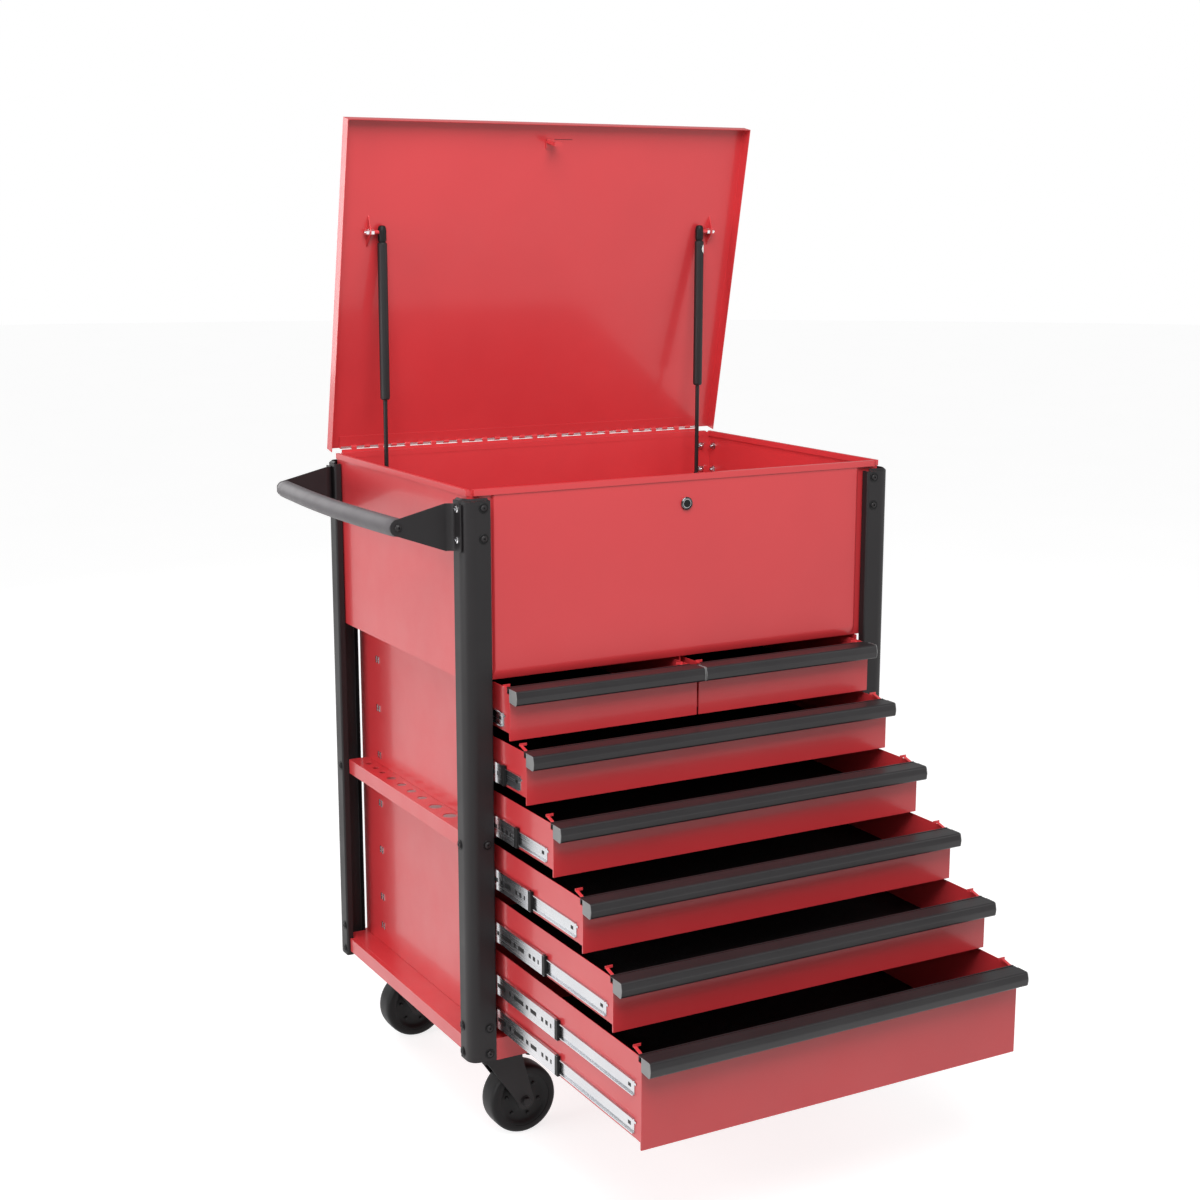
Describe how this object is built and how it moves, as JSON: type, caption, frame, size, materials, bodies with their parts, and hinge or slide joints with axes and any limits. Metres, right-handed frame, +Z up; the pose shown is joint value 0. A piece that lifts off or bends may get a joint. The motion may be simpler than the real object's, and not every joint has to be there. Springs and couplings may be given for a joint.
{
  "type": "rolling tool box",
  "caption": "Steel tool cabinet on casters with sliding drawers, a lidded top box on gas struts, a side tool rack and an end push handle.",
  "frame": {"origin": "centre of the bottom of the whole box at rest, on the floor under the wheels", "axes": "+Z up, +Y towards the back, +X to the right as seen from the front; the push handle is at -X"},
  "size_m": [0.989, 1.1196, 1.7829],
  "materials": {
    "red_paint": "satin powder coat",
    "black_paint": "satin",
    "black_aluminium": "satin anodised",
    "grip_rubber": "matte",
    "zinc_steel": "bright zinc",
    "chrome": "polished",
    "wheel_rubber": "matte"
  },
  "bodies": {
    "cabinet": {"top_box": "red_paint", "post_front_left": "black_paint", "post_front_right": "black_paint", "post_rear_left": "black_paint", "post_rear_right": "black_paint", "side_panel_left": "red_paint", "side_panel_right": "red_paint", "drawer_divider": "red_paint", "back_panel": "red_paint", "base_tray": "red_paint", "tool_rack_left": "red_paint", "handle_bracket_front": "black_paint", "handle_bracket_rear": "black_paint", "handle_grip": "grip_rubber", "hinge_leaf_box": "red_paint", "caster_plate_front_left": "black_paint", "caster_plate_rear_left": "black_paint", "caster_bracket_front_right": "black_paint", "caster_bracket_rear_right": "black_paint"},
    "lid": {"lid": "red_paint", "lid_hook": "red_paint", "hinge_leaf_lid": "red_paint"},
    "lock": {"lock_cylinder": "chrome"},
    "strut_tube_left": {"strut_cylinder_left": "black_paint"},
    "strut_tube_right": {"strut_cylinder_right": "black_paint"},
    "strut_piston_left": {"strut_rod_left": "black_paint"},
    "strut_piston_right": {"strut_rod_right": "black_paint"},
    "fork_front": {"caster_fork_front_left": "black_paint"},
    "fork_rear": {"caster_fork_rear_left": "black_paint"},
    "wheel_front_left": {"wheel_front_left": "wheel_rubber"},
    "wheel_rear_left": {"wheel_rear_left": "wheel_rubber"},
    "wheel_front_right": {"wheel_front_right": "wheel_rubber"},
    "wheel_rear_right": {"wheel_rear_right": "wheel_rubber"},
    "drawer_1_left": {"drawer_1_left": "red_paint", "drawer_1_left_pull": "black_aluminium"},
    "drawer_1_right": {"drawer_1_right": "red_paint", "drawer_1_right_pull": "black_aluminium"},
    "drawer_2": {"drawer_2": "red_paint", "drawer_2_pull": "black_aluminium"},
    "drawer_3": {"drawer_3": "red_paint", "drawer_3_pull": "black_aluminium"},
    "drawer_4": {"drawer_4": "red_paint", "drawer_4_pull": "black_aluminium"},
    "drawer_5": {"drawer_5": "red_paint", "drawer_5_pull": "black_aluminium"},
    "drawer_6": {"drawer_6": "red_paint", "drawer_6_pull": "black_aluminium"},
    "slides_2": {"slide_2_left": "zinc_steel", "slide_2_right": "zinc_steel"},
    "slides_3": {"slide_3_left": "zinc_steel", "slide_3_right": "zinc_steel"},
    "slides_4": {"slide_4_left": "zinc_steel", "slide_4_right": "zinc_steel"},
    "slides_5": {"slide_5_left": "zinc_steel", "slide_5_right": "zinc_steel"},
    "slides_6": {"slide_6_left": "zinc_steel", "slide_6_right": "zinc_steel", "slide_6_left_upper": "zinc_steel", "slide_6_right_upper": "zinc_steel"}
  },
  "joints": [
    {"name": "lid_hinge", "type": "hinge", "parent": "cabinet", "child": "lid", "pos_m": [0.0635, 0.54583, 1.179], "axis": [1, 0, 0], "range_deg": [0, 78.3]},
    {"name": "lock_turn", "type": "hinge", "parent": "cabinet", "child": "lock", "pos_m": [0.0655, -0.04717, 1.119], "axis": [0, 1, 0], "range_deg": [0, 90]},
    {"name": "strut_pivot_left", "type": "hinge", "parent": "lid", "child": "strut_tube_left", "pos_m": [-0.2795, 0.46585, 1.58052], "axis": [1, 0, 0], "range_deg": [-7.65, 0.3]},
    {"name": "strut_stroke_left", "type": "slide", "parent": "strut_tube_left", "child": "strut_piston_left", "axis": [0, -0.0058, 1], "range_m": [-0.0005, 0.16058]},
    {"name": "strut_pivot_right", "type": "hinge", "parent": "lid", "child": "strut_tube_right", "pos_m": [0.4065, 0.46585, 1.58052], "axis": [1, 0, 0], "range_deg": [-7.65, 0.3]},
    {"name": "strut_stroke_right", "type": "slide", "parent": "strut_tube_right", "child": "strut_piston_right", "axis": [0, -0.0058, 1], "range_m": [-0.0005, 0.16058]},
    {"name": "drawer_1_left_slide", "type": "slide", "parent": "cabinet", "child": "drawer_1_left", "axis": [0, -1, 0], "range_m": [-0.0484, 0.3316]},
    {"name": "drawer_1_right_slide", "type": "slide", "parent": "cabinet", "child": "drawer_1_right", "axis": [0, -1, 0], "range_m": [-0.0484, 0.3316]},
    {"name": "drawer_2_slide", "type": "slide", "parent": "cabinet", "child": "drawer_2", "axis": [0, -1, 0], "range_m": [-0.1085, 0.3915]},
    {"name": "drawer_3_slide", "type": "slide", "parent": "cabinet", "child": "drawer_3", "axis": [0, -1, 0], "range_m": [-0.2025, 0.2975]},
    {"name": "drawer_4_slide", "type": "slide", "parent": "cabinet", "child": "drawer_4", "axis": [0, -1, 0], "range_m": [-0.3016, 0.1984]},
    {"name": "drawer_5_slide", "type": "slide", "parent": "cabinet", "child": "drawer_5", "axis": [0, -1, 0], "range_m": [-0.3989, 0.1011]},
    {"name": "drawer_6_slide", "type": "slide", "parent": "cabinet", "child": "drawer_6", "axis": [0, -1, 0], "range_m": [-0.4864, 0.0136]},
    {"name": "slides_2_travel", "type": "slide", "parent": "cabinet", "child": "slides_2", "axis": [0, -1, 0], "range_m": [-0.05475, 0.19625]},
    {"name": "slides_3_travel", "type": "slide", "parent": "cabinet", "child": "slides_3", "axis": [0, -1, 0], "range_m": [-0.10175, 0.14925]},
    {"name": "slides_4_travel", "type": "slide", "parent": "cabinet", "child": "slides_4", "axis": [0, -1, 0], "range_m": [-0.1513, 0.0997]},
    {"name": "slides_5_travel", "type": "slide", "parent": "cabinet", "child": "slides_5", "axis": [0, -1, 0], "range_m": [-0.19995, 0.05105]},
    {"name": "slides_6_travel", "type": "slide", "parent": "cabinet", "child": "slides_6", "axis": [0, -1, 0], "range_m": [-0.2437, 0.0073]},
    {"name": "swivel_front", "type": "hinge", "parent": "cabinet", "child": "fork_front", "pos_m": [-0.2865, 0.00883, 0.171], "axis": [0, 0, 1], "continuous": true},
    {"name": "wheel_spin_front_left", "type": "hinge", "parent": "fork_front", "child": "wheel_front_left", "pos_m": [-0.2425, 0.00883, 0.0635], "axis": [0, 1, 0], "continuous": true},
    {"name": "wheel_spin_front_right", "type": "hinge", "parent": "cabinet", "child": "wheel_front_right", "pos_m": [0.4135, 0.00883, 0.0635], "axis": [0, 1, 0], "continuous": true},
    {"name": "swivel_rear", "type": "hinge", "parent": "cabinet", "child": "fork_rear", "pos_m": [-0.2865, 0.48283, 0.171], "axis": [0, 0, 1], "continuous": true},
    {"name": "wheel_spin_rear_left", "type": "hinge", "parent": "fork_rear", "child": "wheel_rear_left", "pos_m": [-0.2425, 0.48283, 0.0635], "axis": [0, 1, 0], "continuous": true},
    {"name": "wheel_spin_rear_right", "type": "hinge", "parent": "cabinet", "child": "wheel_rear_right", "pos_m": [0.4135, 0.48283, 0.0635], "axis": [0, 1, 0], "continuous": true}
  ],
  "couplings": [
    {"joint": "strut_pivot_left", "follows": "lid_hinge", "ratio": -0.09385},
    {"joint": "strut_stroke_left", "follows": "lid_hinge", "m_per_rad": 0.11714},
    {"joint": "strut_pivot_right", "follows": "lid_hinge", "ratio": -0.09385},
    {"joint": "strut_stroke_right", "follows": "lid_hinge", "m_per_rad": 0.11714},
    {"joint": "slides_2_travel", "follows": "drawer_2_slide", "ratio": 0.5},
    {"joint": "slides_3_travel", "follows": "drawer_3_slide", "ratio": 0.5},
    {"joint": "slides_4_travel", "follows": "drawer_4_slide", "ratio": 0.5},
    {"joint": "slides_5_travel", "follows": "drawer_5_slide", "ratio": 0.5},
    {"joint": "slides_6_travel", "follows": "drawer_6_slide", "ratio": 0.5}
  ]
}
